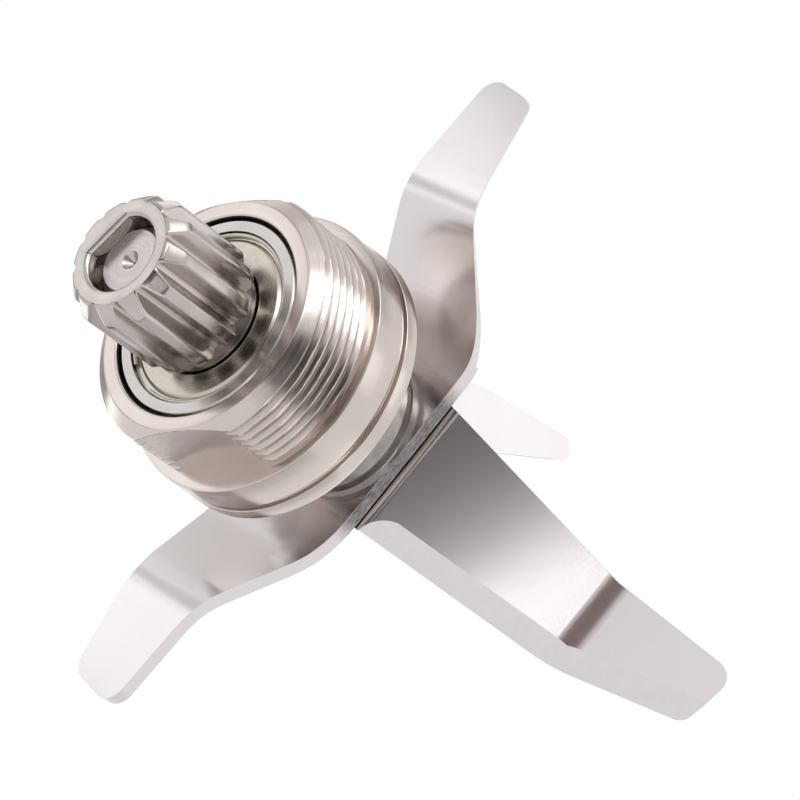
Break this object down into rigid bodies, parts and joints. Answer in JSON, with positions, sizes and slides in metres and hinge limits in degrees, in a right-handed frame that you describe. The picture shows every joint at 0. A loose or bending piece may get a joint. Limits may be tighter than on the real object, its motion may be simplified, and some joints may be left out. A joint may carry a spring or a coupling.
{
  "type": "blender blade assembly",
  "caption": "Blender blade assembly: bent cutting wings on a shaft that turns in ball bearings in a threaded housing, driven by a splined coupling underneath.",
  "frame": {"origin": "on the spin axis at the underside of the housing's collar, where the housing seats", "axes": "+Z along the spin axis from the drive spline to the blades; X along the lower blade, Y along the upper blade"},
  "size_m": [0.0744, 0.0501, 0.076],
  "materials": {
    "housing_metal": "satin, warm nickel plating",
    "shaft_steel": "turned, satin",
    "spline_steel": "machined, satin",
    "blade_steel": "satin stainless",
    "nut_steel": "polished stainless",
    "bearing_steel": "ground",
    "ball_steel": "polished",
    "cage_steel": "pressed sheet",
    "shield_steel": "pressed sheet, satin",
    "seal_rubber": "matt"
  },
  "bodies": {
    "housing": {"bearing_housing": "housing_metal", "lower_bearing_outer_ring": "bearing_steel", "lower_bearing_lower_shield": "shield_steel", "lower_bearing_lower_snap_wire": "shield_steel", "lower_bearing_upper_shield": "shield_steel", "lower_bearing_upper_snap_wire": "shield_steel", "upper_bearing_outer_ring": "bearing_steel", "upper_bearing_lower_shield": "shield_steel", "upper_bearing_lower_snap_wire": "shield_steel", "upper_bearing_upper_shield": "shield_steel", "upper_bearing_upper_snap_wire": "shield_steel", "seal_case": "bearing_steel", "seal_lip": "seal_rubber", "seal_spring": "bearing_steel"},
    "rotor": {"drive_shaft": "shaft_steel", "drive_spline": "spline_steel", "lower_bearing_inner_ring": "bearing_steel", "upper_bearing_inner_ring": "bearing_steel", "bearing_spacer": "shaft_steel", "blade_collar": "shaft_steel", "lower_blade": "blade_steel", "upper_blade": "blade_steel", "blade_washer": "blade_steel", "cap_nut": "nut_steel"},
    "lower_ball_set": {"lower_bearing_balls": "ball_steel", "lower_bearing_cage": "cage_steel"},
    "upper_ball_set": {"upper_bearing_balls": "ball_steel", "upper_bearing_cage": "cage_steel"}
  },
  "joints": [
    {"name": "shaft_spin", "type": "hinge", "parent": "housing", "child": "rotor", "pos_m": [0, 0, 0], "axis": [0, 0, 1], "continuous": true},
    {"name": "lower_ball_orbit", "type": "hinge", "parent": "housing", "child": "lower_ball_set", "pos_m": [0, 0, -0.0045], "axis": [0, 0, 1], "continuous": true},
    {"name": "upper_ball_orbit", "type": "hinge", "parent": "housing", "child": "upper_ball_set", "pos_m": [0, 0, 0.0041], "axis": [0, 0, 1], "continuous": true}
  ],
  "couplings": [
    {"joint": "lower_ball_orbit", "follows": "shaft_spin", "ratio": 0.3677},
    {"joint": "upper_ball_orbit", "follows": "shaft_spin", "ratio": 0.4008}
  ]
}
